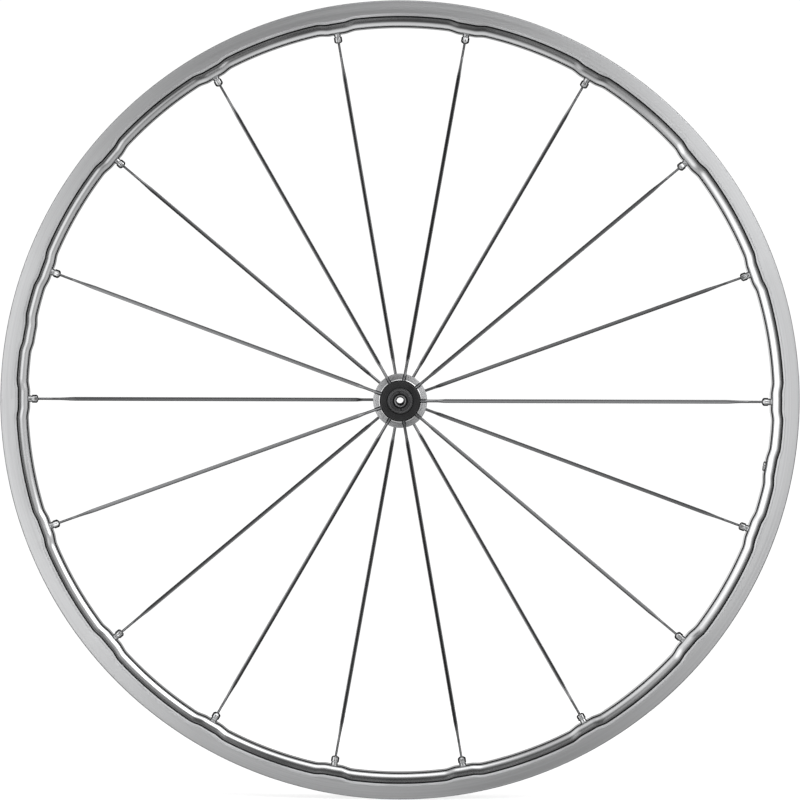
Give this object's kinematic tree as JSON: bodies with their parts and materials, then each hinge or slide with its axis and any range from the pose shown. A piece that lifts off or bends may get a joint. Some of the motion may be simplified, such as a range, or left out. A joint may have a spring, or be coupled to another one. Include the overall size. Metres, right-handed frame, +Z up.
{
  "type": "bicycle front wheel",
  "caption": "Bare road bicycle front wheel: milled hollow alloy rim, radial bladed spokes with fluted nipples, straight-pull hub on cartridge bearings, hollow quick-release axle.",
  "frame": {"origin": "centre of the wheel, on the axle line and midway between the rim's two brake tracks", "axes": "+Y along the axle towards the wheel's left end, +Z up, +X towards the spoke at zero degrees; the wheel stands in the XZ plane"},
  "size_m": [0.6338, 0.108, 0.634],
  "materials": {
    "rim_alloy": "silver anodised, machined brake tracks, satin milled spoke bed",
    "spoke_steel": "drawn stainless steel, polished by the rolls",
    "nipple_alloy": "bright anodised",
    "hub_alloy": "turned and anodised",
    "axle_alloy": "turned, bare",
    "grommet_alloy": "turned",
    "black_plastic": "moulded black nylon",
    "black_alloy": "turned and black anodised",
    "bearing_steel": "ground and polished",
    "seal_rubber": "nitrile rubber on a steel washer"
  },
  "bodies": {
    "axle": {"axle": "axle_alloy", "right_inner_race": "bearing_steel", "left_inner_race": "bearing_steel", "adjuster_nut": "black_alloy", "left_end_cap": "black_alloy"},
    "wheel": {"rim": "rim_alloy", "valve_grommet": "grommet_alloy", "spoke_right_1": "spoke_steel", "spoke_right_2": "spoke_steel", "spoke_right_3": "spoke_steel", "spoke_right_4": "spoke_steel", "spoke_right_5": "spoke_steel", "spoke_right_6": "spoke_steel", "spoke_right_7": "spoke_steel", "spoke_right_8": "spoke_steel", "spoke_right_9": "spoke_steel", "spoke_left_1": "spoke_steel", "spoke_left_2": "spoke_steel", "spoke_left_3": "spoke_steel", "spoke_left_4": "spoke_steel", "spoke_left_5": "spoke_steel", "spoke_left_6": "spoke_steel", "spoke_left_7": "spoke_steel", "spoke_left_8": "spoke_steel", "spoke_left_9": "spoke_steel", "nipple_right_1": "nipple_alloy", "nipple_right_2": "nipple_alloy", "nipple_right_3": "nipple_alloy", "nipple_right_4": "nipple_alloy", "nipple_right_5": "nipple_alloy", "nipple_right_6": "nipple_alloy", "nipple_right_7": "nipple_alloy", "nipple_right_8": "nipple_alloy", "nipple_right_9": "nipple_alloy", "nipple_left_1": "nipple_alloy", "nipple_left_2": "nipple_alloy", "nipple_left_3": "nipple_alloy", "nipple_left_4": "nipple_alloy", "nipple_left_5": "nipple_alloy", "nipple_left_6": "nipple_alloy", "nipple_left_7": "nipple_alloy", "nipple_left_8": "nipple_alloy", "nipple_left_9": "nipple_alloy", "hub_shell": "hub_alloy", "right_hub_cover": "black_plastic", "left_hub_cover": "black_plastic", "right_outer_race": "bearing_steel", "right_outer_seal": "seal_rubber", "right_inner_seal": "seal_rubber", "left_outer_race": "bearing_steel", "left_outer_seal": "seal_rubber", "left_inner_seal": "seal_rubber"},
    "right_balls": {"right_ball_set": "bearing_steel"},
    "left_balls": {"left_ball_set": "bearing_steel"}
  },
  "joints": [
    {"name": "wheel_spin", "type": "hinge", "parent": "axle", "child": "wheel", "pos_m": [0, 0, 0], "axis": [0, 1, 0], "continuous": true},
    {"name": "right_balls_spin", "type": "hinge", "parent": "axle", "child": "right_balls", "pos_m": [0, -0.0363, 0], "axis": [0, 1, 0], "continuous": true},
    {"name": "left_balls_spin", "type": "hinge", "parent": "axle", "child": "left_balls", "pos_m": [0, 0.0363, 0], "axis": [0, 1, 0], "continuous": true}
  ],
  "couplings": [
    {"joint": "right_balls_spin", "follows": "wheel_spin", "ratio": 0.5992},
    {"joint": "left_balls_spin", "follows": "wheel_spin", "ratio": 0.5992}
  ]
}
